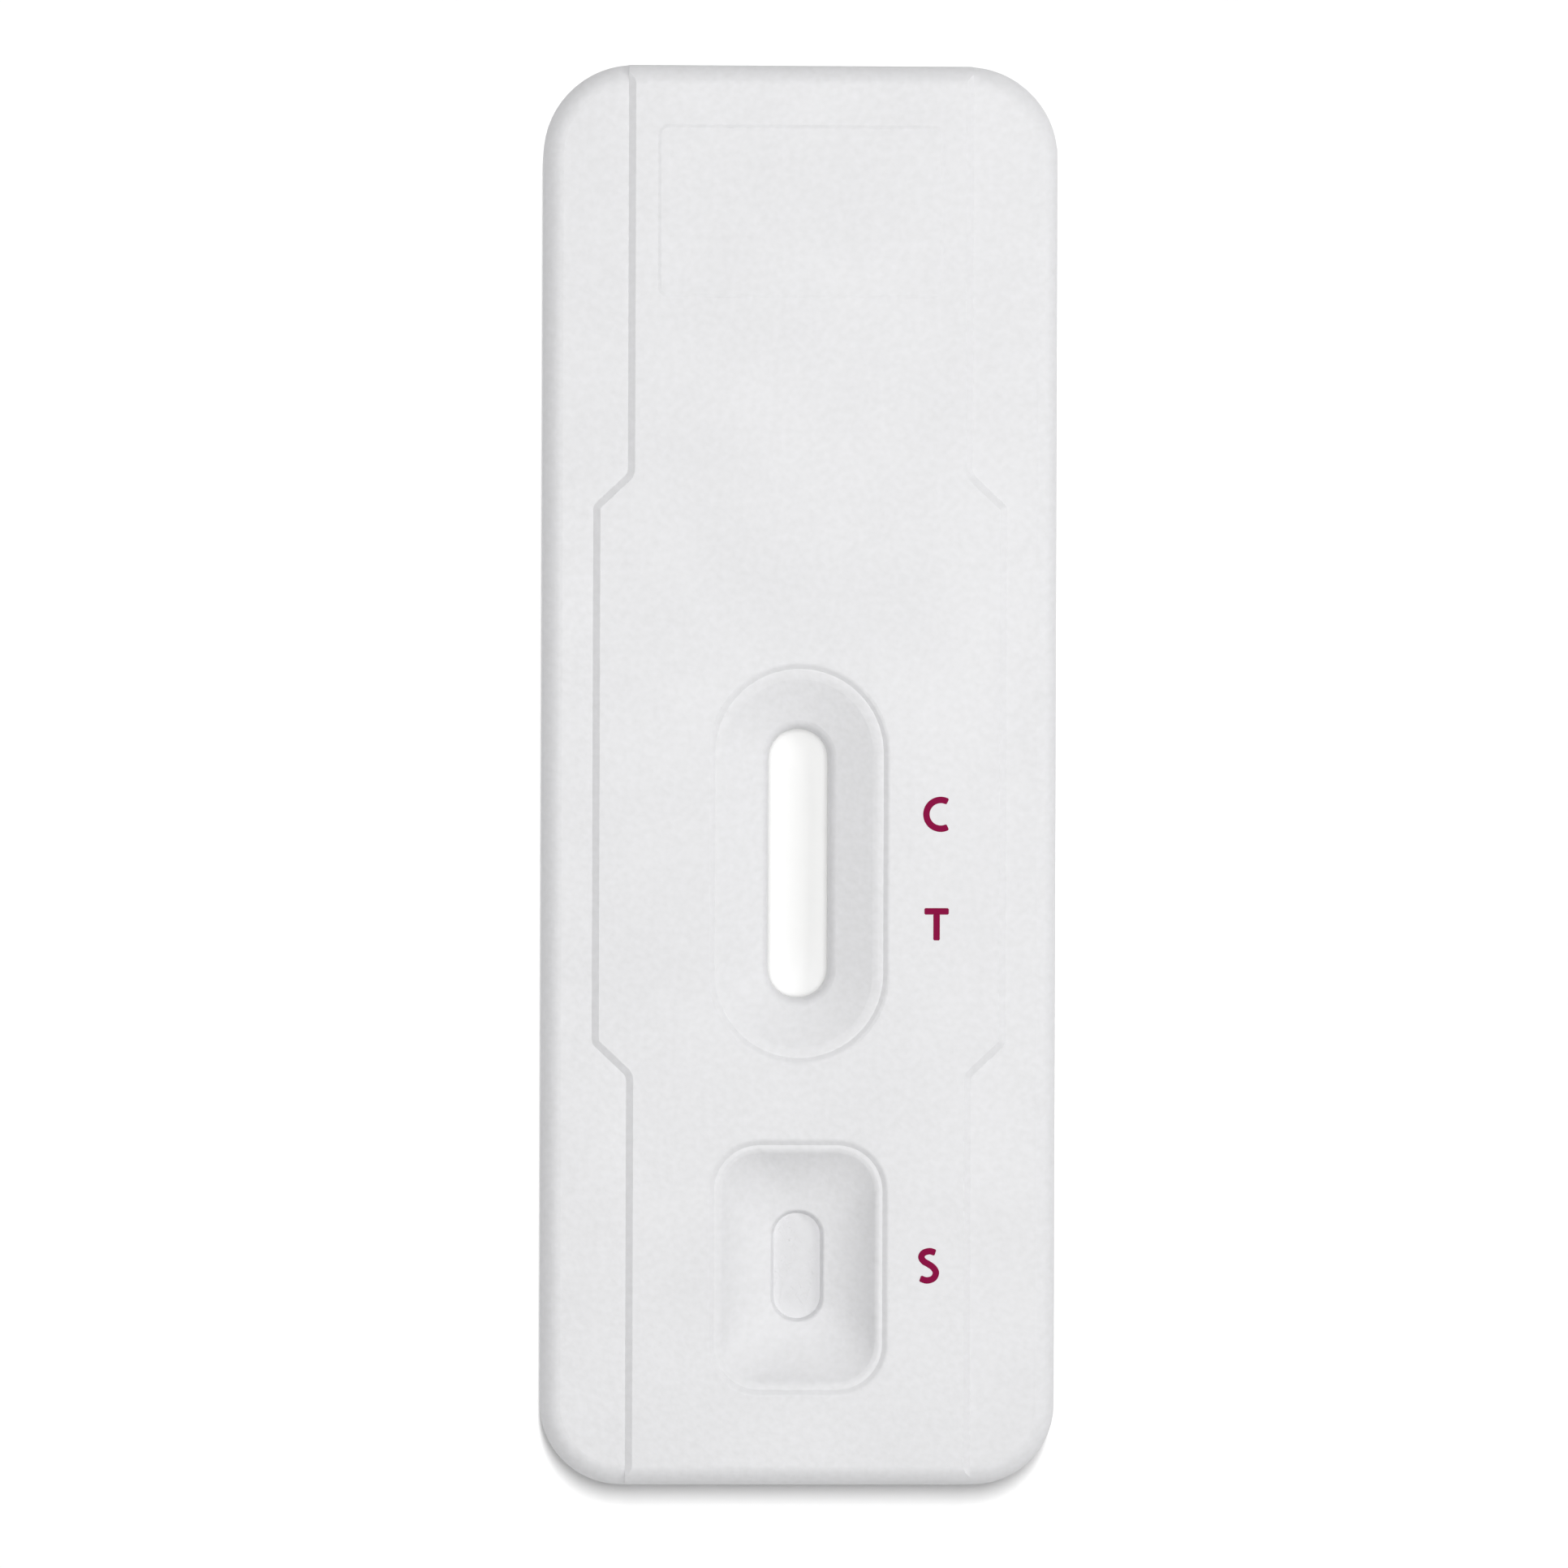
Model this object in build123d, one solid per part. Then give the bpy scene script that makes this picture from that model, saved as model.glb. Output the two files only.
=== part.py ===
from build123d import *
import os

# Lateral flow test cassette: two moulded shells, pressed together on pins, around one test strip.
# X runs across the cassette, Y along it with the sample well at the -Y end, Z up from the table.
# The origin is the middle of the underside. Every size is in millimetres.

# Housing outline, seen from above
housing_length = 70.0
housing_width = 25.4
far_corner_radius = 4.5
near_corner_radius = 4.0
top_edge_radius = 1.0
bottom_edge_radius = 0.7

# Shell walls and the joint between the shells
wall_thickness = 1.2
floor_thickness = 1.2
roof_thickness = 1.0
base_height = 2.4
tongue_thickness = 0.5
tongue_height = 0.6
tongue_clearance = 0.05
parting_chamfer = 0.12

# Raised panel down the middle of the cover, and the pad for writing on
panel_rise = 0.17
panel_side_run = 0.35
shoulder_end_width = 4.2
shoulder_middle_width = 2.5
panel_middle_length = 26.5
panel_jog_length = 1.6
panel_jog_radius = 0.5
id_pad_length = 8.5
id_pad_rise = 0.025
id_pad_side_run = 0.15
id_pad_end_margin = 3.0
id_pad_side_margin = 1.1
id_pad_corner_radius = 0.5

# Test strip, stacked on the cradle in the base
strip_width = 4.0
strip_side_clearance = 0.1
strip_end_room = 4.0
card_thickness = 0.25
membrane_thickness = 0.2
conjugate_thickness = 0.4
sample_pad_thickness = 0.6
absorbent_thickness = 0.9
pad_ramp = 0.4

# Places along the strip, counted from the sample end
well_end_distance = 10.75
conjugate_setback = 1.6
conjugate_length = 5.5
conjugate_overlap = 2.0
sample_pad_setback = 1.0
membrane_lead = 4.55
membrane_tail = 7.3
absorbent_overlap = 2.5
head_room = 0.45

# Result window
window_width = 2.93
window_length = 13.3
window_rim_width = 8.8
window_rim_length = 19.67
window_wall_height = 1.25
window_wall_run = 0.1
window_edge_radius = 0.5
window_ledge_radius = 1.3
window_skirt_wall = 0.7
window_skirt_flare = 1.4
membrane_gap = 0.1

# Sample well
well_width = 8.8
well_length = 12.55
well_corner_radius = 2.5
port_width = 2.3
port_length = 5.2
port_wall_height = 0.45
port_wall_run = 0.15
port_edge_radius = 0.12
port_ring_wall = 1.0
port_skirt_flare = 2.3
bowl_shoulder_run = 1.1
bowl_shoulder_drop = 0.85
bowl_ledge_radius = 0.4
well_round_share = 0.48

# Rim that both recesses share: a sloped lip, then a narrow ledge
lip_depth = 0.15
lip_run = 0.25
ledge_width = 0.3
rim_edge_radius = 0.3

# Pins of the cover and sockets of the base
pin_diameter = 1.8
pin_tip_diameter = 1.3
pin_clearance = 0.02
pin_lead = 0.5
pin_tip_gap = 0.25
socket_wall = 0.75
socket_seat_gap = 0.05
collar_height = 0.65
pin_wall_gap = 0.4
pin_end_inset = 6.0
pins_per_side = 3

# Strip cradle of the base and pressing bars of the cover
cradle_height = 0.9
cradle_rib_width = 0.8
rail_thickness = 0.8
rail_length = 8.0
rail_count = 5
bar_width = 0.8
bar_count = 3
bar_end_margin = 2.5

# How close a point lies to a level to count as on it
edge_tolerance = 0.001

# Heights that follow from the stack of the strip
floor_z = floor_thickness
card_z = floor_z + cradle_height
strip_z = card_z + card_thickness
membrane_z = strip_z + membrane_thickness
sample_pad_z = strip_z + sample_pad_thickness
absorbent_z = strip_z + absorbent_thickness
overlap_z = strip_z + conjugate_thickness + sample_pad_thickness
ceiling_z = overlap_z + head_room
shoulder_z = ceiling_z + roof_thickness
panel_z = shoulder_z + panel_rise
ledge_z = panel_z - lip_depth
window_foot_z = membrane_z + membrane_gap
window_top_z = window_foot_z + window_wall_height
port_top_z = sample_pad_z + port_wall_height

# Places along Y that follow from the chain of the strip
strip_start = -housing_length / 2 + wall_thickness + strip_end_room
strip_end = housing_length / 2 - wall_thickness - strip_end_room
well_y = -housing_length / 2 + well_end_distance
conjugate_start = well_y + port_length / 2 + port_ring_wall + conjugate_setback
conjugate_end = conjugate_start + conjugate_length
membrane_start = conjugate_end - conjugate_overlap
sample_pad_end = membrane_start - sample_pad_setback
window_y = membrane_start + membrane_lead + window_length / 2
membrane_end = window_y + window_length / 2 + membrane_tail
absorbent_start = membrane_end - absorbent_overlap

# Pin places
pin_radius = pin_diameter / 2
bore_radius = pin_radius + pin_clearance
socket_radius = bore_radius + socket_wall
pin_x = housing_width / 2 - wall_thickness - pin_wall_gap - socket_radius
pin_pitch = (housing_length - 2 * pin_end_inset) / (pins_per_side - 1)
collar_z = ceiling_z - collar_height
socket_z = collar_z - socket_seat_gap
pin_spots = list(GridLocations(2 * pin_x, pin_pitch, 2, pins_per_side))


def spread(start, end, count):
    """Even places from start to end, both included."""
    return [start + (end - start) * step / (count - 1) for step in range(count)]


def outline(inset, z):
    """Plan outline of the housing at height z, drawn in by inset on every side."""
    plate = Rectangle(housing_width - 2 * inset, housing_length - 2 * inset)
    plate = fillet(plate.vertices().group_by(Axis.Y)[-1], far_corner_radius - inset)
    plate = fillet(plate.vertices().group_by(Axis.Y)[0], near_corner_radius - inset)
    return Pos(0, 0, z) * plate


def block(width, length, bottom_z, top_z, y):
    """Plain bar on the centre line, from bottom_z to top_z."""
    return Pos(0, y, (bottom_z + top_z) / 2) * Box(width, length, top_z - bottom_z)


def cover_block(top_z):
    """Outside of the cover without its panel: straight walls and a rounded top edge."""
    body = extrude(outline(0, base_height), amount=top_z - base_height)
    return fillet(body.faces().sort_by(Axis.Z)[-1].edges(), top_edge_radius)


def panel_prism():
    """Raised panel: narrow at both ends, wide in the middle, with sloped sides above the shoulders."""
    end_x = housing_width / 2 - shoulder_end_width
    middle_x = housing_width / 2 - shoulder_middle_width
    inner_y = panel_middle_length / 2
    outer_y = inner_y + panel_jog_length
    reach = housing_length / 2 + panel_side_run
    jogs = [(end_x, outer_y), (middle_x, inner_y), (middle_x, -inner_y), (end_x, -outer_y)]
    right_side = [(end_x, reach), *jogs, (end_x, -reach)]
    left_side = [(-x, y) for x, y in reversed(right_side)]
    plan = make_face(Polyline(*right_side, *left_side, close=True))
    jog_reach = outer_y + edge_tolerance
    jog_corners = plan.vertices().filter_by_position(Axis.Y, -jog_reach, jog_reach)
    plan = fillet(jog_corners, panel_jog_radius)
    low_z = (base_height + shoulder_z - top_edge_radius) / 2
    prism = extrude(Pos(0, 0, low_z) * plan, amount=panel_z - low_z)
    top = prism.faces().sort_by(Axis.Z)[-1]
    return chamfer(top.edges(), panel_side_run, panel_rise, reference=top)


def id_pad():
    """Writing pad: a low plateau with sloped sides on the far end of the panel, rooted in it."""
    width = housing_width - 2 * (shoulder_end_width + panel_side_run + id_pad_side_margin)
    pad_y = housing_length / 2 - id_pad_end_margin - id_pad_length / 2
    plan = Pos(0, pad_y, shoulder_z) * RectangleRounded(width, id_pad_length, id_pad_corner_radius)
    plateau = extrude(plan, amount=panel_rise + id_pad_rise)
    top = plateau.faces().sort_by(Axis.Z)[-1]
    return chamfer(top.edges(), id_pad_side_run, id_pad_rise, reference=top)


def slot_solid(straight, section):
    """Solid of one half section, run along a slot's straight sides and turned round its ends."""
    half = Plane.XZ * section
    side = extrude(half, amount=straight / 2, both=True)
    turn = revolve(half, Axis.Z, 360)
    return side + mirror(side, Plane.YZ) + Pos(0, straight / 2, 0) * turn + Pos(0, -straight / 2, 0) * turn


def skirt(straight, foot_x, foot_z, flare_run):
    """Flared wall that hangs from the roof to foot_z, still solid where the slot will be cut."""
    root_z = ceiling_z + roof_thickness / 2
    points = [(0, foot_z), (foot_x, foot_z), (foot_x + flare_run, ceiling_z), (foot_x + flare_run, root_z),
              (0, root_z)]
    return slot_solid(straight, make_face(Polyline(*points, close=True)))


def recess_mouth(rim):
    """Sloped lip of a recess above its ledge, with room above it to clear the panel."""
    mouth = extrude(rim, amount=lip_depth + panel_rise)
    ledge = mouth.faces().sort_by(Axis.Z)[0]
    return chamfer(ledge.edges(), lip_run, lip_depth, reference=ledge)


def window_section(width, length, z):
    """One level of the result window, a slot with round ends."""
    return Pos(0, 0, z) * Rot(0, 0, 90) * SlotOverall(length, width)


def window_cutter():
    """Result window: sloped lip, ledge, funnel slope and the steep wall down to the membrane."""
    inset = lip_run + ledge_width
    rim = window_section(window_rim_width, window_rim_length, ledge_z)
    top = window_section(window_rim_width - 2 * inset, window_rim_length - 2 * inset, ledge_z)
    draft = 2 * window_wall_run
    low = window_section(window_width + draft, window_length + draft, window_top_z)
    foot = window_section(window_width, window_length, window_foot_z)
    return recess_mouth(rim) + loft([top, low], ruled=True) + loft([low, foot], ruled=True)


def well_section(width, length, radius, z):
    """One level of the sample well, whose corners stop just short of a full half circle at its ends."""
    return Pos(0, 0, z) * RectangleRounded(width, length, min(radius, well_round_share * width))


def well_cutter():
    """Sample well: sloped lip, ledge, concave bowl and the port through to the sample pad."""
    rim = well_section(well_width, well_length, well_corner_radius, ledge_z)
    inset = lip_run + ledge_width
    top_width = well_width - 2 * inset
    top_length = well_length - 2 * inset
    top_radius = well_corner_radius - inset
    low_width = port_width + 2 * port_wall_run
    low_length = port_length + 2 * port_wall_run
    share = 2 * bowl_shoulder_run / (top_width - low_width)
    middle_width = top_width - share * (top_width - low_width)
    middle_length = top_length - share * (top_length - low_length)
    top = well_section(top_width, top_length, top_radius, ledge_z)
    middle = well_section(middle_width, middle_length, top_radius, ledge_z - bowl_shoulder_drop)
    low = well_section(low_width, low_length, low_width, port_top_z)
    foot = well_section(port_width, port_length, port_width, sample_pad_z)
    bowl = loft([top, middle, low])
    port = loft([low, foot], ruled=True)
    return recess_mouth(rim) + bowl + port


def recess_edges(body, z, y, width, length):
    """Edges at height z of the recess of that width and length centred at y."""
    reach_x = width / 2 + edge_tolerance
    reach_y = length / 2 + edge_tolerance
    level = body.edges().filter_by_position(Axis.Z, z - edge_tolerance, z + edge_tolerance)
    across = level.filter_by_position(Axis.X, -reach_x, reach_x)
    return across.filter_by_position(Axis.Y, y - reach_y, y + reach_y)


def ledge_edges(body, y):
    """Inner edges of the flat ledge of the recess centred at y."""
    level = body.faces().filter_by_position(Axis.Z, ledge_z - edge_tolerance, ledge_z + edge_tolerance)
    ledge = level.filter_by(GeomType.PLANE).sort_by_distance(Vector(0, y, ledge_z))[0]
    return ledge.inner_wires()[0].edges()


def pin():
    """One press-fit pin under its collar, standing a little way into the roof."""
    tip_z = floor_z + pin_tip_gap
    root_z = ceiling_z + roof_thickness / 2
    points = [(0, tip_z), (pin_tip_diameter / 2, tip_z), (pin_radius, tip_z + pin_lead),
              (pin_radius, collar_z), (socket_radius, collar_z), (socket_radius, root_z), (0, root_z)]
    return revolve(Plane.XZ * make_face(Polyline(*points, close=True)), Axis.Z, 360)


def socket():
    """One socket of the base, standing on the floor."""
    height = socket_z - floor_z / 2
    tube = Cylinder(socket_radius, height) - Cylinder(bore_radius, height)
    return Pos(0, 0, floor_z / 2 + height / 2) * tube


def pressing_bars():
    """Bars under the roof that hold the pads down on the card."""
    places = spread(membrane_end + bar_end_margin, strip_end - bar_end_margin, bar_count)
    root_z = ceiling_z + roof_thickness / 2
    bars = [block(strip_width, bar_width, absorbent_z, root_z, y) for y in places]
    bars.append(block(strip_width, bar_width, overlap_z, root_z, (conjugate_start + sample_pad_end) / 2))
    return bars


def make_cover():
    """Upper shell: panel, ID pad, window and well on top, skirts, bars and pins below."""
    body = cover_block(shoulder_z) + (cover_block(panel_z) & panel_prism())
    body = chamfer(body.faces().sort_by(Axis.Z)[0].edges(), parting_chamfer)
    body += id_pad()
    rebate_inset = wall_thickness - tongue_thickness - tongue_clearance
    body -= extrude(outline(wall_thickness, base_height), amount=ceiling_z - base_height)
    body -= extrude(outline(rebate_inset, base_height), amount=tongue_height + tongue_clearance)
    window_straight = window_length - window_width
    port_straight = port_length - port_width
    window_foot = window_width / 2 + window_skirt_wall
    port_foot = port_width / 2 + port_ring_wall
    body += Pos(0, window_y, 0) * skirt(window_straight, window_foot, window_foot_z, window_skirt_flare)
    body += Pos(0, well_y, 0) * skirt(port_straight, port_foot, sample_pad_z, port_skirt_flare)
    for bar in pressing_bars():
        body += bar
    for spot in pin_spots:
        body += spot * pin()
    body -= Pos(0, window_y, 0) * window_cutter()
    body -= Pos(0, well_y, 0) * well_cutter()
    body = fillet(ledge_edges(body, window_y), window_ledge_radius)
    body = fillet(ledge_edges(body, well_y), bowl_ledge_radius)
    window = window_y, window_rim_width, window_rim_length
    well = well_y, well_width, well_length
    body = fillet(recess_edges(body, panel_z, *window), rim_edge_radius)
    body = fillet(recess_edges(body, window_top_z, *window), window_edge_radius)
    body = fillet(recess_edges(body, panel_z, *well), rim_edge_radius)
    return fillet(recess_edges(body, port_top_z, *well), port_edge_radius)


def make_base():
    """Lower shell: tray with a tongue round its edge, sockets, and a cradle for the strip."""
    body = extrude(outline(0, 0), amount=base_height)
    body = fillet(body.faces().sort_by(Axis.Z)[0].edges(), bottom_edge_radius)
    body = chamfer(body.faces().sort_by(Axis.Z)[-1].edges(), parting_chamfer)
    tongue = outline(wall_thickness - tongue_thickness, floor_z)
    body += extrude(tongue, amount=base_height + tongue_height - floor_z)
    body -= extrude(outline(wall_thickness, floor_z), amount=base_height + tongue_height - floor_z)
    for spot in pin_spots:
        body += spot * socket()
    channel = strip_width + 2 * strip_side_clearance
    root_z = floor_z / 2
    rib_reach = rail_length / 2 - cradle_rib_width / 2
    for y in spread(strip_start + rail_length / 2, strip_end - rail_length / 2, rail_count):
        rails = block(channel + 2 * rail_thickness, rail_length, root_z, membrane_z, y)
        body += rails - block(channel, rail_length, root_z, membrane_z, y)
        for rib_y in (y - rib_reach, y + rib_reach):
            body += block(channel + rail_thickness, cradle_rib_width, root_z, card_z, rib_y)
    for y, side in ((strip_start, -1), (strip_end, 1)):
        stop_y = y + side * (strip_side_clearance + rail_thickness / 2)
        body += block(channel + 2 * rail_thickness, rail_thickness, root_z, membrane_z, stop_y)
    return body


def draped_pad(start, end, thickness, step_y, low_rise, high_rise):
    """Soft pad that lies low_rise above the card at its sample end and high_rise above it at the other."""
    rising = high_rise > low_rise
    foot_y = step_y - pad_ramp if rising else step_y
    head_y = step_y if rising else step_y + pad_ramp
    lower = [(start, low_rise), (foot_y, low_rise), (head_y, high_rise), (end, high_rise)]
    upper = [(y, z + thickness) for y, z in reversed(lower)]
    side = make_face(Polyline(*lower, *upper, close=True))
    return extrude(Pos(0, 0, strip_z) * (Plane.YZ * side), amount=strip_width / 2, both=True)


strip_middle = (strip_start + strip_end) / 2
membrane_middle = (membrane_start + membrane_end) / 2
nodes = {
    "top_cover": make_cover(),
    "bottom_base": make_base(),
    "backing_card": block(strip_width, strip_end - strip_start, card_z, strip_z, strip_middle),
    "nitrocellulose_membrane": block(strip_width, membrane_end - membrane_start, strip_z, membrane_z,
                                     membrane_middle),
    "conjugate_pad": draped_pad(conjugate_start, conjugate_end, conjugate_thickness, membrane_start,
                                0, membrane_thickness),
    "sample_pad": draped_pad(strip_start, sample_pad_end, sample_pad_thickness, conjugate_start,
                             0, conjugate_thickness),
    "absorbent_pad": draped_pad(absorbent_start, strip_end, absorbent_thickness, membrane_end,
                                membrane_thickness, 0),
}

os.makedirs("parts", exist_ok=True)
for name, shape in nodes.items():
    export_step(shape, f"parts/{name}.step")
    print(name, "volume", round(shape.volume, 1), "mm3")
print("housing height", round(panel_z, 3), "window at", round(window_y, 2), "well at", round(well_y, 2))
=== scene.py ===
# %% [markdown]
# # A lateral flow cassette and its finish
# The real cassette is two white moulded shells, pressed together on pins round a paper test strip.
# Its seven pieces are loaded as solids at their real size, so this lesson only adds the looks: the
# grain of the moulded plastic, felt for the three pads, the printed letters, then light and a camera.
# Blender works in metres here and the cassette is small, so every size is a number of millimetres
# times MM.

# %% Load the solids
import math
import random

import bmesh
import bpy
from mathutils import Matrix, Quaternion, Vector, noise
from mathutils.bvhtree import BVHTree


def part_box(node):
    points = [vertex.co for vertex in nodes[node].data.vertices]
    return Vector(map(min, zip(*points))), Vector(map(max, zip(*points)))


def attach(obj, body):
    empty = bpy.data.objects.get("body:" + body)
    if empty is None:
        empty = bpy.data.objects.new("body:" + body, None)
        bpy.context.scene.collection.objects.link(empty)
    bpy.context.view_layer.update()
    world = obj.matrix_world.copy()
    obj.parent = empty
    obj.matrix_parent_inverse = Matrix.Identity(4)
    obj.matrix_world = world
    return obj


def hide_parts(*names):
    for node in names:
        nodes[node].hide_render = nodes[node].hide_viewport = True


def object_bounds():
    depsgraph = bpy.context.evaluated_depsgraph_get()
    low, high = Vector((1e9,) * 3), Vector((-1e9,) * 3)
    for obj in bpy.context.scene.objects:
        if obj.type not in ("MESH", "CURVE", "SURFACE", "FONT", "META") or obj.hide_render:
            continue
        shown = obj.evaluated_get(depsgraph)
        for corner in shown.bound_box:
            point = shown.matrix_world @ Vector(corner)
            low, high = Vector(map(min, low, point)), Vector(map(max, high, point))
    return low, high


MM = 0.001
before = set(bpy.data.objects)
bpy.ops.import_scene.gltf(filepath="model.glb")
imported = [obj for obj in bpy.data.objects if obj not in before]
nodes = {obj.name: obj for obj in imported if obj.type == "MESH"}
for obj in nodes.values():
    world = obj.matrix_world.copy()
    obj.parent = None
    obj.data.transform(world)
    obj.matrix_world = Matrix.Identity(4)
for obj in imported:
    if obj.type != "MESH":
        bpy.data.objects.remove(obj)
cad_low, cad_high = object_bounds()
print("solids:", ", ".join(sorted(nodes)))
print("size in mm:", [round(side / MM, 2) for side in cad_high - cad_low])

# %% [markdown]
# ## Helpers for materials
# A colour that is read from a screen is an sRGB value, and a shader works in linear light, so one
# function turns the first into the second. A material is a small graph of nodes. Writing each node as
# three or four statements hides what the graph does, so one function adds a node, sets its properties
# and sockets, and links what feeds it.

# %% Colour and node helpers
def linear(hex_colour):
    """Linear RGBA of an sRGB colour such as #ECECED."""
    channels = [int(hex_colour[place:place + 2], 16) / 255 for place in (1, 3, 5)]
    curve = [c / 12.92 if c <= 0.04045 else ((c + 0.055) / 1.055) ** 2.4 for c in channels]
    return (*curve, 1.0)


def add_node(tree, kind, sockets=None, links=None, **settings):
    """Add one node, set its properties and input sockets, and link the outputs that feed it."""
    node = tree.nodes.new("ShaderNode" + kind)
    for name, value in settings.items():
        setattr(node, name, value)
    for name, value in (sockets or {}).items():
        node.inputs[name].default_value = value
    for name, output in (links or {}).items():
        tree.links.new(output, node.inputs[name])
    return node


def empty_material(name):
    """A new material, its empty node tree, and the object coordinates that its patterns follow."""
    material = bpy.data.materials.new(name)
    material.use_nodes = True
    material.node_tree.nodes.clear()
    place = add_node(material.node_tree, "TexCoord").outputs["Object"]
    return material, material.node_tree, place


print("middle grey #808080 is", round(linear("#808080")[0], 3), "in linear light")

# %% [markdown]
# ## Moulded polystyrene
# The shells are white high-impact polystyrene. The mould was spark-eroded, so the plastic has a fine
# matt grain that scatters highlights and gives the eye a soft, even white with a faint mottle of
# light and dark. The grain is far too small to model, so one noise pattern dents the surface a
# little, as a bump, and paints shade into its pits: where the bump is low, the colour is darker. Real
# pits are about a tenth of a millimetre across and would vanish between the pixels, so they are drawn
# three to four times as coarse, as wide as the mottle in the photograph. A second, slow pattern stands
# for the flow of the melt, which leaves patches a few millimetres wide that differ a little in gloss.

# %% Moulded polystyrene
GRAIN_SIZE = 0.35 * MM
GRAIN_DEPTH = 0.015 * MM
FLOW_SIZE = 6.0 * MM


def moulded_polystyrene():
    material, tree, place = empty_material("moulded_polystyrene")
    flow = add_node(tree, "TexNoise", {"Scale": 1 / FLOW_SIZE, "Detail": 3.0}, {"Vector": place})
    grain = add_node(tree, "TexNoise", {"Scale": 1 / GRAIN_SIZE, "Detail": 1.0}, {"Vector": place})
    # Painted shade: the pits of the grain, where its bump is low, get the darker colour #E2E2E3.
    tone = add_node(tree, "MixRGB", {"Color1": linear("#E2E2E3"), "Color2": linear("#EDEDEF")},
                    {"Fac": grain.outputs["Fac"]})
    gloss = add_node(tree, "MapRange", {"From Min": 0.3, "From Max": 0.7, "To Min": 0.46, "To Max": 0.56},
                     {"Value": flow.outputs["Fac"]})
    bump = add_node(tree, "Bump", {"Strength": 1.0, "Distance": GRAIN_DEPTH},
                    {"Height": grain.outputs["Fac"]})
    plastic = add_node(tree, "BsdfPrincipled", {"IOR": 1.59, "Specular IOR Level": 0.4},
                       {"Base Color": tone.outputs["Color"], "Roughness": gloss.outputs["Result"],
                        "Normal": bump.outputs["Normal"]})
    add_node(tree, "OutputMaterial", links={"Surface": plastic.outputs["BSDF"]})
    return material


def dress(node, material):
    """Give a loaded solid its finish in place of the plain colour that it came with."""
    nodes[node].data.materials.clear()
    nodes[node].data.materials.append(material)


polystyrene = moulded_polystyrene()
for shell in ("top_cover", "bottom_base"):
    dress(shell, polystyrene)
print("moulded polystyrene on the shells, grain", round(GRAIN_SIZE / MM, 2), "mm")

# %% [markdown]
# ## Nitrocellulose film and its backing card
# The strip in the window is a film of nitrocellulose, cast as a foam with pores a few thousandths of
# a millimetre wide. They scatter all the light that falls in, so the film is the whitest and most
# matt thing on the cassette. The pores are too fine to show, so they are drawn about ten times as
# coarse as they are. The card under the whole strip is a calendered polystyrene sheet, smoother and
# a little glossier, with the faint lengthwise streaks that the rollers leave.

# %% Nitrocellulose film and backing card
PORE_SIZE = 0.07 * MM
PORE_DEPTH = 0.004 * MM
CAST_SIZE = 1.5 * MM
STREAK_WIDTH = 0.3 * MM
STREAK_STRETCH = 0.04


def nitrocellulose_film():
    material, tree, place = empty_material("nitrocellulose_film")
    cast = add_node(tree, "TexNoise", {"Scale": 1 / CAST_SIZE, "Detail": 2.0}, {"Vector": place})
    pores = add_node(tree, "TexNoise", {"Scale": 1 / PORE_SIZE, "Detail": 3.0}, {"Vector": place})
    tone = add_node(tree, "MixRGB", {"Color1": linear("#FAFAF9"), "Color2": linear("#FDFDFC")},
                    {"Fac": cast.outputs["Fac"]})
    bump = add_node(tree, "Bump", {"Strength": 1.0, "Distance": PORE_DEPTH},
                    {"Height": pores.outputs["Fac"]})
    film = add_node(tree, "BsdfPrincipled", {"IOR": 1.5, "Roughness": 0.9, "Specular IOR Level": 0.25},
                    {"Base Color": tone.outputs["Color"], "Normal": bump.outputs["Normal"]})
    add_node(tree, "OutputMaterial", links={"Surface": film.outputs["BSDF"]})
    return material


def calendered_sheet():
    material, tree, place = empty_material("calendered_polystyrene_sheet")
    stretched = add_node(tree, "Mapping", {"Scale": (1.0, STREAK_STRETCH, 1.0)}, {"Vector": place})
    streaks = add_node(tree, "TexNoise", {"Scale": 1 / STREAK_WIDTH, "Detail": 2.0},
                       {"Vector": stretched.outputs["Vector"]})
    tone = add_node(tree, "MixRGB", {"Color1": linear("#EDEDEA"), "Color2": linear("#F3F3F0")},
                    {"Fac": streaks.outputs["Fac"]})
    gloss = add_node(tree, "MapRange", {"To Min": 0.28, "To Max": 0.42}, {"Value": streaks.outputs["Fac"]})
    sheet = add_node(tree, "BsdfPrincipled", {"IOR": 1.59},
                     {"Base Color": tone.outputs["Color"], "Roughness": gloss.outputs["Result"]})
    add_node(tree, "OutputMaterial", links={"Surface": sheet.outputs["BSDF"]})
    return material


dress("nitrocellulose_membrane", nitrocellulose_film())
dress("backing_card", calendered_sheet())
print("film and card dressed")

# %% [markdown]
# ## Felt for the pads
# The three pads are felts, laid wet like paper: cellulose for the sample, glass fibre for the dried
# label, and thick cotton linters at the far end to draw the liquid along. Felt gives the eye a soft,
# lumpy white with no gloss, and single fibres that catch the light. One material function serves all
# three, because only the colours and the lump size differ. The record says that the dried label on
# the glass fibre is pale red.

# %% Felt material
FIBRE_WIDTH = 0.03 * MM


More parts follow.
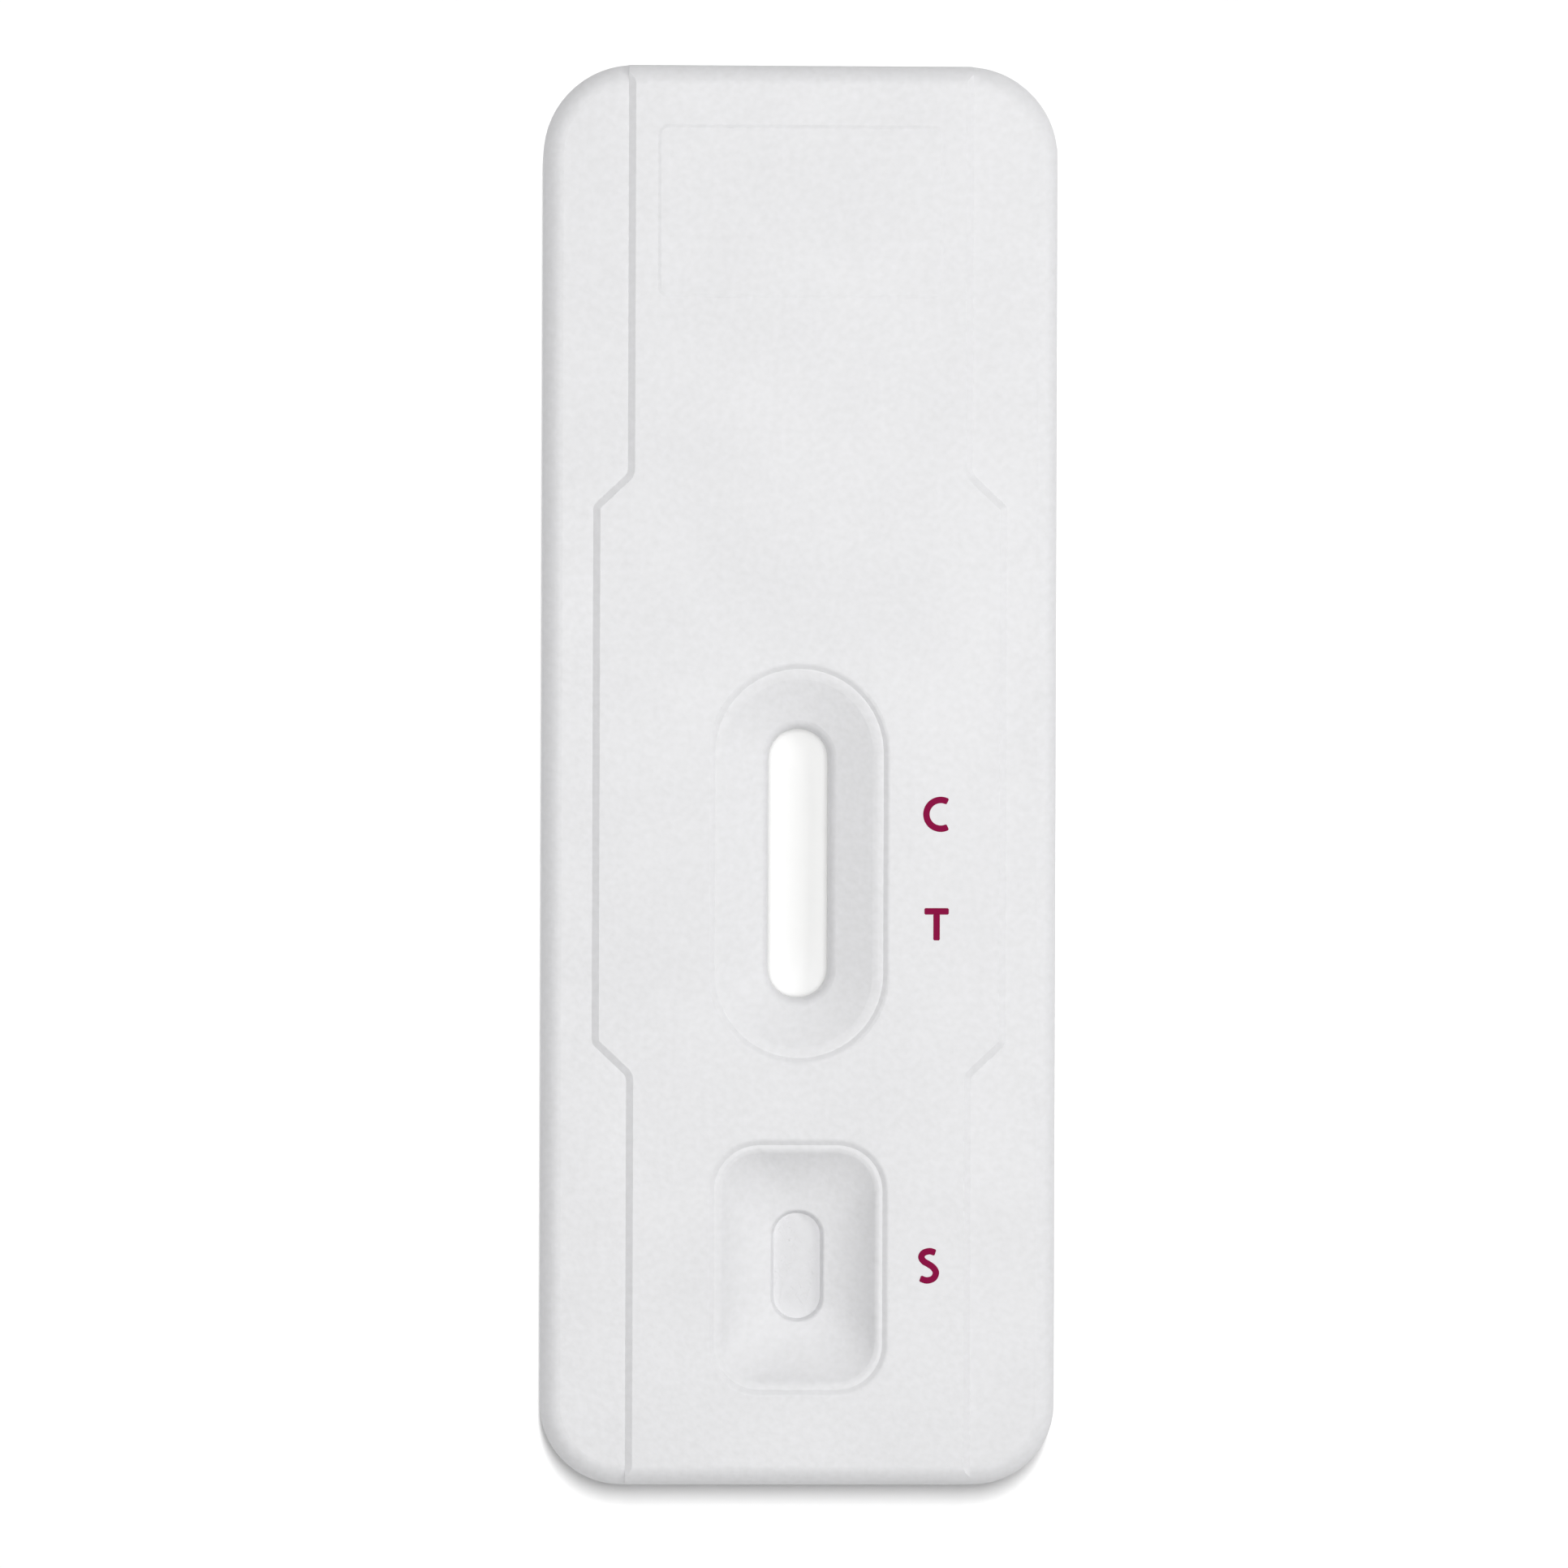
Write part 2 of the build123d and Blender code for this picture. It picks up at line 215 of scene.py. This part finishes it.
def felt(name, shadow_colour, fibre_colour, lump_size):
    material, tree, place = empty_material(name)
    lumps = add_node(tree, "TexNoise", {"Scale": 1 / lump_size, "Detail": 4.0}, {"Vector": place})
    fibres = add_node(tree, "TexNoise", {"Scale": 1 / FIBRE_WIDTH, "Detail": 1.0, "Distortion": 2.0},
                      {"Vector": place})
    tone = add_node(tree, "MixRGB", {"Color1": linear(shadow_colour), "Color2": linear(fibre_colour)},
                    {"Fac": lumps.outputs["Fac"]})
    bump = add_node(tree, "Bump", {"Strength": 0.6, "Distance": FIBRE_WIDTH / 4},
                    {"Height": fibres.outputs["Fac"]})
    cloth = add_node(tree, "BsdfPrincipled",
                     {"IOR": 1.5, "Roughness": 0.95, "Specular IOR Level": 0.2, "Sheen Weight": 0.15},
                     {"Base Color": tone.outputs["Color"], "Normal": bump.outputs["Normal"]})
    add_node(tree, "OutputMaterial", links={"Surface": cloth.outputs["BSDF"]})
    return material


cellulose_felt = felt("cellulose_felt", "#E2E2E3", "#EAEAEC", 0.5 * MM)
glass_fibre_felt = felt("glass_fibre_felt", "#D3A6AB", "#E6CDCF", 0.4 * MM)
cotton_felt = felt("cotton_linter_felt", "#EBEBE8", "#F7F7F5", 0.8 * MM)
print("felts:", cellulose_felt.name, glass_fibre_felt.name, cotton_felt.name)

# %% [markdown]
# ## The body of a pad
# A pad keeps the place and the folds of its solid, but a felt has no sharp edges and no flat faces.
# A voxel remesh turns the solid into an even net of small squares with softened edges, and two sizes
# of noise then push that net inwards, never outwards. So the pad stays inside its solid, except that
# the remesh fills the inner corner of a fold by under 0.02 mm. The remesh modifier has a smallest
# voxel, so the pad is worked at a thousand times its size, where one unit is a millimetre.

# %% Pad body
WELD_DISTANCE = 0.001 * MM
VOXEL = 0.1
LUMP_SIZE = 0.9
TUFT_SIZE = 0.3
LUMP_SHARE = 0.6
NAP_DEPTH = 0.025


def welded_solid(node):
    """A bmesh of the node's solid in millimetres, with the seams between its faces closed."""
    solid = bmesh.new()
    solid.from_mesh(nodes[node].data)
    bmesh.ops.remove_doubles(solid, verts=solid.verts, dist=WELD_DISTANCE)
    bmesh.ops.scale(solid, vec=(1 / MM,) * 3, verts=solid.verts)
    return solid


def felted_body(solid):
    """The solid's shape as a fine net that noise has pushed in by up to NAP_DEPTH."""
    mesh = bpy.data.meshes.new("felt_blank")
    solid.to_mesh(mesh)
    blank = bpy.data.objects.new("felt_blank", mesh)
    bpy.context.scene.collection.objects.link(blank)
    remesh = blank.modifiers.new("net", "REMESH")
    remesh.mode = "VOXEL"
    remesh.voxel_size = VOXEL
    net = bpy.data.meshes.new_from_object(blank.evaluated_get(bpy.context.evaluated_depsgraph_get()))
    bpy.data.objects.remove(blank)
    points = []
    for vertex in net.vertices:
        lump = 0.5 + 0.5 * noise.noise(vertex.co / LUMP_SIZE)
        tuft = 0.5 + 0.5 * noise.noise(vertex.co / TUFT_SIZE)
        points.append(vertex.co - vertex.normal * NAP_DEPTH * (LUMP_SHARE * lump + (1 - LUMP_SHARE) * tuft))
    faces = [tuple(face.vertices) for face in net.polygons]
    return points, faces


print("net of", VOXEL, "mm squares, pushed in by up to", NAP_DEPTH, "mm")

# %% [markdown]
# ## Loose fibres
# What marks a felt from close by is the fibres on its face. Hair particles would need a particle
# system that has to be converted, so each fibre here is a short thin tube of a few rings that wanders
# over the pad. A ray cast down on the solid finds the face and its slope, so a fibre lies just under
# the face and follows the fold where one pad climbs over another. Real fibres are about 0.02 mm
# thick. These are 0.03 mm, so that they still show. The random numbers start from a fixed seed, so
# each run gives the same felt.

# %% Fibres
FIBRE_RADIUS = 0.015
FIBRE_RINGS = 7
FIBRE_SIDES = 3
FIBRE_WANDER = 0.45
EDGE_MARGIN = 0.08


def fibre_path(face, low, high, length, dice):
    """Points of one fibre that wanders over the top face, or fewer where it leaves the pad."""
    x = dice.uniform(low.x, high.x)
    y = dice.uniform(low.y, high.y)
    heading = dice.uniform(0, 2 * math.pi)
    bury = dice.uniform(0, NAP_DEPTH / 2)
    step = length / (FIBRE_RINGS - 1)
    points = []
    for _ in range(FIBRE_RINGS):
        inside = low.x < x < high.x and low.y < y < high.y
        if not inside:
            break
        hit, upright, _, _ = face.ray_cast(Vector((x, y, high.z + 1)), Vector((0, 0, -1)))
        if hit is None:
            break
        points.append(hit - upright * (FIBRE_RADIUS + bury))
        heading += dice.uniform(-FIBRE_WANDER, FIBRE_WANDER)
        x += step * math.cos(heading)
        y += step * math.sin(heading)
    return points


def tube(path, first):
    """Points and faces of a closed thin tube along the path, whose points count from first."""
    points = []
    for place, centre in enumerate(path):
        ahead = path[min(place + 1, len(path) - 1)] - path[max(place - 1, 0)]
        side = ahead.cross(Vector((0, 0, 1))).normalized()
        up = side.cross(ahead).normalized()
        for corner in range(FIBRE_SIDES):
            turn = 2 * math.pi * corner / FIBRE_SIDES + math.pi / 2
            points.append(centre + FIBRE_RADIUS * (math.cos(turn) * side + math.sin(turn) * up))
    faces = []
    for ring in range(len(path) - 1):
        for corner in range(FIBRE_SIDES):
            a = first + ring * FIBRE_SIDES + corner
            b = first + ring * FIBRE_SIDES + (corner + 1) % FIBRE_SIDES
            faces.append((a, b, b + FIBRE_SIDES, a + FIBRE_SIDES))
    last = first + (len(path) - 1) * FIBRE_SIDES
    faces.append(tuple(reversed(range(first, first + FIBRE_SIDES))))
    faces.append(tuple(range(last, last + FIBRE_SIDES)))
    return points, faces


print("a fibre has", FIBRE_RINGS, "rings of", FIBRE_SIDES, "points")

# %% [markdown]
# ## The three pads
# Each pad is its felted body and its fibres in one mesh, so that it stays one piece. The pad takes
# the place of the plain solid and rides with the rest of the cassette. The fibres are counted by area,
# so that all pads look alike.

# %% Make the pads
FIBRES_PER_SQUARE_MM = 22
SHORTEST_SHARE = 0.6
LONGEST_SHARE = 1.4
FEWEST_RINGS = 3


def felt_pad(node, material, fibre_length, seed):
    """Replace a plain pad with a felted one that has loose fibres on its upper face."""
    dice = random.Random(seed)
    solid = welded_solid(node)
    face = BVHTree.FromBMesh(solid)
    margin = Vector((EDGE_MARGIN, EDGE_MARGIN, 0))
    low, high = (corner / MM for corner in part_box(node))
    low, high = low + margin, high - margin
    points, faces = felted_body(solid)
    for _ in range(round(FIBRES_PER_SQUARE_MM * (high.x - low.x) * (high.y - low.y))):
        length = fibre_length * dice.uniform(SHORTEST_SHARE, LONGEST_SHARE)
        path = fibre_path(face, low, high, length, dice)
        if len(path) >= FEWEST_RINGS:
            more_points, more_faces = tube(path, len(points))
            points += more_points
            faces += more_faces
    mesh = bpy.data.meshes.new(node + "_felt")
    mesh.from_pydata(points, [], faces)
    mesh.transform(Matrix.Scale(MM, 4))
    mesh.shade_smooth()
    mesh.materials.append(material)
    pad = bpy.data.objects.new(node + "_felt", mesh)
    bpy.context.scene.collection.objects.link(pad)
    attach(pad, "root")
    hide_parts(node)
    print(pad.name, len(mesh.vertices), "points,", len(mesh.polygons), "faces")


felt_pad("sample_pad", cellulose_felt, fibre_length=1.2, seed=1)
felt_pad("conjugate_pad", glass_fibre_felt, fibre_length=1.6, seed=2)
felt_pad("absorbent_pad", cotton_felt, fibre_length=1.0, seed=3)

# %% [markdown]
# ## Pad-print ink
# The letters beside the window and the well are pad-printed: a silicone pad lifts a film of ink from
# an etched plate and presses it on the plastic. The ink is a deep magenta, almost matt, with a
# slightly uneven film. The film is about 0.01 mm thick, and is made 0.02 mm here so that its edge
# still catches light.

# %% Ink material
INK_MOTTLE = 0.25 * MM
INK_GRAIN_DEPTH = 0.004 * MM


def pad_print_ink():
    material, tree, place = empty_material("pad_print_ink")
    mottle = add_node(tree, "TexNoise", {"Scale": 1 / INK_MOTTLE, "Detail": 3.0}, {"Vector": place})
    grain = add_node(tree, "TexNoise", {"Scale": 1 / GRAIN_SIZE, "Detail": 2.0}, {"Vector": place})
    tone = add_node(tree, "MixRGB", {"Color1": linear("#84003C"), "Color2": linear("#920044")},
                    {"Fac": mottle.outputs["Fac"]})
    gloss = add_node(tree, "MapRange", {"To Min": 0.4, "To Max": 0.6}, {"Value": mottle.outputs["Fac"]})
    bump = add_node(tree, "Bump", {"Strength": 1.0, "Distance": INK_GRAIN_DEPTH},
                    {"Height": grain.outputs["Fac"]})
    ink = add_node(tree, "BsdfPrincipled", {"IOR": 1.5, "Specular IOR Level": 0.06},
                   {"Base Color": tone.outputs["Color"], "Roughness": gloss.outputs["Result"],
                    "Normal": bump.outputs["Normal"]})
    add_node(tree, "OutputMaterial", links={"Surface": ink.outputs["BSDF"]})
    return material


ink = pad_print_ink()
print("ink:", ink.name)

# %% [markdown]
# ## Letters as strokes of ink
# C marks the control line, T the test line and S the sample well, as on any such cassette. Blender's
# text object could set them in a font, but these are plain single-stroke letters with round bends, so
# each is drawn as its centre line, in millimetres from the letter's own middle. A stroke is then a
# low ridge of ink along that line: six points across, with softened shoulders and rounded ends.

# %% Strokes
INK_HEIGHT = 0.02 * MM
STROKE_WIDTH = 0.32 * MM
SHOULDER = 0.03 * MM
END_ROUND = 0.05 * MM
END_SHARE = 0.72
BEND_STEPS = 6


def arc(radius, start, end, steps):
    """Points of a round stroke about the letter's middle, with angles in degrees."""
    angles = [math.radians(start + (end - start) * step / steps) for step in range(steps + 1)]
    return [Vector((radius * math.cos(angle), radius * math.sin(angle))) for angle in angles]


def smooth(corners):
    """A smooth line through the given points, each bend divided into a few short steps."""
    points = [Vector(corner) for corner in corners]
    ends = [2 * points[0] - points[1], *points, 2 * points[-1] - points[-2]]
    line = []
    for before, start, end, after in zip(ends, ends[1:], ends[2:], ends[3:]):
        for step in range(BEND_STEPS):
            t = step / BEND_STEPS
            bend = (2 * before - 5 * start + 4 * end - after) * t ** 2
            twist = (3 * start - before - 3 * end + after) * t ** 3
            line.append((2 * start + (end - before) * t + bend + twist) / 2)
    return [*line, points[-1]]


def ink_stroke(line, middle, base_z):
    """Points of one stroke, six to a ring, with its flat underside at base_z."""
    line = [point * MM for point in line]
    head = line[0] + (line[1] - line[0]).normalized() * END_ROUND
    tail = line[-1] + (line[-2] - line[-1]).normalized() * END_ROUND
    line = [line[0], head, *line[1:-1], tail, line[-1]]
    points = []
    for place, centre in enumerate(line):
        ahead = (line[min(place + 1, len(line) - 1)] - line[max(place - 1, 0)]).normalized()
        across = Vector((ahead.y, -ahead.x))
        half = STROKE_WIDTH / 2 * (END_SHARE if place in (0, len(line) - 1) else 1)
        rim = half - SHOULDER
        for offset, z in ((-half, 0), (-half, 0.5), (-rim, 1), (rim, 1), (half, 0.5), (half, 0)):
            spot = middle + centre + across * offset
            points.append((spot.x, spot.y, base_z + z * INK_HEIGHT))
    return points


print("stroke", round(STROKE_WIDTH / MM, 2), "mm wide and", round(INK_HEIGHT / MM, 3), "mm high")

# %% [markdown]
# ## Place the letters
# The letters stand on the raised panel, level with the lines and the well that they name. The panel
# lies just below the top of the cassette, which is the low writing pad at the far end. All three
# letters are one print, but each is its own piece, so that it can be picked out later.

# %% Make the letters
RING = 6
WRITING_PAD_RISE = 0.025 * MM
PANEL_TOP = cad_high.z - WRITING_PAD_RISE
LETTERS = {
    "letter_C": ((6.96, -1.91), [arc(0.71, 61, 299, 28)]),
    "letter_T": ((6.77, -7.4), [[Vector((-0.6, 0.71)), Vector((0.0, 0.71)), Vector((0.6, 0.71))],
                                 [Vector((0.0, 0.585)), Vector((0.0, 0.0)), Vector((0.0, -0.72))]]),
    "letter_S": ((6.39, -24.15), [smooth([(0.37, 0.64), (0.1, 0.72), (-0.2, 0.64), (-0.32, 0.43),
                                          (-0.2, 0.22), (0.02, 0.09), (0.28, -0.1), (0.4, -0.35),
                                          (0.27, -0.62), (-0.05, -0.72), (-0.38, -0.62)])]),
}


def letter(name, middle, strokes):
    points = []
    faces = []
    for line in strokes:
        first = len(points)
        ridge = ink_stroke(line, Vector(middle) * MM, PANEL_TOP)
        points += ridge
        rings = len(ridge) // RING
        for ring in range(rings - 1):
            for corner in range(RING):
                a = first + ring * RING + corner
                b = first + ring * RING + (corner + 1) % RING
                faces.append((a, b, b + RING, a + RING))
        last = first + (rings - 1) * RING
        faces.append(tuple(reversed(range(first, first + RING))))
        faces.append(tuple(range(last, last + RING)))
    mesh = bpy.data.meshes.new(name)
    mesh.from_pydata(points, [], faces)
    mesh.materials.append(ink)
    piece = bpy.data.objects.new(name, mesh)
    bpy.context.scene.collection.objects.link(piece)
    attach(piece, "root")
    print(name, "at", middle, "with", len(faces), "faces")


for name, (middle, strokes) in LETTERS.items():
    letter(name, middle, strokes)

# %% [markdown]
# ## A white sweep
# The cassette lies on plain white paper that runs out to white, with only a thin shadow along its
# near edge. White paper is never quite white in a render, because it gives back less light than falls
# on it, and more light would bleach the cassette too. The light path node tells the camera's and the
# reflected rays from all others, so those rays see the paper with a small glow added, which lifts it
# to white. The glow is the same all over, so the shadow stays, and none of it falls on the cassette
# as diffuse light.

# %% Floor
FLOOR_SIDE = 4.0
FLOOR_DROP = 0.02 * MM
FLOOR_LIFT = 0.14
TOOTH_SIZE = 0.4 * MM


def white_paper():
    material, tree, place = empty_material("white_paper_sweep")
    tooth = add_node(tree, "TexNoise", {"Scale": 1 / TOOTH_SIZE, "Detail": 2.0}, {"Vector": place})
    tone = add_node(tree, "MixRGB", {"Color1": linear("#EEEEEE"), "Color2": linear("#F2F2F2")},
                    {"Fac": tooth.outputs["Fac"]})
    paper = add_node(tree, "BsdfDiffuse", links={"Color": tone.outputs["Color"]})
    ray = add_node(tree, "LightPath").outputs
    mirrored = add_node(tree, "Math", links={0: ray["Is Glossy Ray"], 1: ray["Is Transmission Ray"]},
                        operation="MAXIMUM")
    seen = add_node(tree, "Math", links={0: ray["Is Camera Ray"], 1: mirrored.outputs["Value"]},
                    operation="MAXIMUM")
    strength = add_node(tree, "Math", {1: FLOOR_LIFT}, {0: seen.outputs["Value"]}, operation="MULTIPLY")
    lift = add_node(tree, "Emission", links={"Strength": strength.outputs["Value"]})
    sweep = add_node(tree, "AddShader", links={0: paper.outputs["BSDF"], 1: lift.outputs["Emission"]})
    add_node(tree, "OutputMaterial", links={"Surface": sweep.outputs["Shader"]})
    return material


half = FLOOR_SIDE / 2
floor_mesh = bpy.data.meshes.new("floor")
floor_mesh.from_pydata([(-half, -half, -FLOOR_DROP), (half, -half, -FLOOR_DROP), (half, half, -FLOOR_DROP),
                        (-half, half, -FLOOR_DROP)], [], [(0, 1, 2, 3)])
floor_mesh.materials.append(white_paper())
floor = bpy.data.objects.new("floor", floor_mesh)
bpy.context.scene.collection.objects.link(floor)
print("floor", FLOOR_SIDE, "m wide")

# %% [markdown]
# ## Light
# The photograph has the light of a small product table: white all round, a soft box straight above, a
# soft lamp high on the right, which leaves the slopes that face left a little darker, and a small one
# over the far end. The shadow on the paper lies along the near edge only, which those lamps can't
# give, so they light the cassette alone, and a strip lamp far behind it lights the paper alone. Blender
# calls this light linking, and a studio does it with flags. A lamp's power in watts says little, so
# each lamp is given its place and its sides in millimetres, and the share of full white that it adds
# to a flat white sheet at the middle of the cassette. Its power is worked out from that. With the
# white room, the shares add up to about one on the cassette and on the paper alike, so that a colour
# renders about as it is written.

# %% World and lamps
WORLD_SHARE = 0.24
LAMPS = {
    "soft_box_above": (Vector((0, -4, 300)), (186, 186), 0.585, "EXCLUDE"),
    "soft_lamp_right": (Vector((200, 25, 170)), (105, 105), 0.155, "EXCLUDE"),
    "soft_lamp_far_end": (Vector((10, 70, 110)), (70, 70), 0.045, "EXCLUDE"),
    "strip_lamp_for_paper": (Vector((0, 2180, 10000)), (500, 2610), 0.785, "INCLUDE"),
}


def soft_lamp(name, place, sides, share, floor_state):
    """A flat lamp that faces the cassette and adds its share of white to a level sheet there."""
    data = bpy.data.lights.new(name, "AREA")
    data.shape = "RECTANGLE"
    data.size, data.size_y = (side * MM for side in sides)
    place = place * MM
    distance = place.length
    slant = place.z / distance
    data.energy = share * math.pi ** 2 * distance ** 2 / slant
    lamp = bpy.data.objects.new(name, data)
    bpy.context.scene.collection.objects.link(lamp)
    lamp.location = place
    lamp.rotation_euler = (-place).to_track_quat("-Z", "Y").to_euler()
    lamp.visible_camera = False
    lit = bpy.data.collections.new(name + "_lights")
    lit.objects.link(floor)
    lit.collection_objects[0].light_linking.link_state = floor_state
    lamp.light_linking.receiver_collection = lit
    print(name, round(data.energy, 2), "W from", round(distance / MM), "mm")


world = bpy.data.worlds.new("white_room")
world.use_nodes = True
world.node_tree.nodes["Background"].inputs["Color"].default_value = (1, 1, 1, 1)
world.node_tree.nodes["Background"].inputs["Strength"].default_value = WORLD_SHARE
bpy.context.scene.world = world
for name, lamp_values in LAMPS.items():
    soft_lamp(name, *lamp_values)

# %% [markdown]
# ## Camera
# The photograph looks almost straight down, from far enough away that the sides of the cassette stay
# parallel. The window's walls show that the camera stood a little to the left, because more of the
# right wall can be seen. The picture is square and takes in about 77 mm. The camera's long lens
# follows from that width and its distance.

# %% Camera
SENSOR_WIDTH = 36
VIEW_WIDTH = 77.2 * MM
CAMERA_DISTANCE = 436 * MM
AIM = Vector((-0.77, -0.44, 4.9)) * MM
SIDE_LEAN = math.radians(2.0)
ROLL = math.radians(0.18)
camera_data = bpy.data.cameras.new("camera")
camera_data.sensor_width = SENSOR_WIDTH
camera_data.lens = SENSOR_WIDTH * CAMERA_DISTANCE / VIEW_WIDTH
camera = bpy.data.objects.new("camera", camera_data)
bpy.context.scene.collection.objects.link(camera)
camera.rotation_mode = "QUATERNION"
camera.rotation_quaternion = Quaternion((0, 1, 0), -SIDE_LEAN) @ Quaternion((0, 0, 1), ROLL)
camera.location = AIM + Vector((-math.sin(SIDE_LEAN), 0, math.cos(SIDE_LEAN))) * CAMERA_DISTANCE
bpy.context.scene.camera = camera
bpy.context.scene.view_settings.view_transform = "Standard"
print("lens", round(camera_data.lens), "mm")
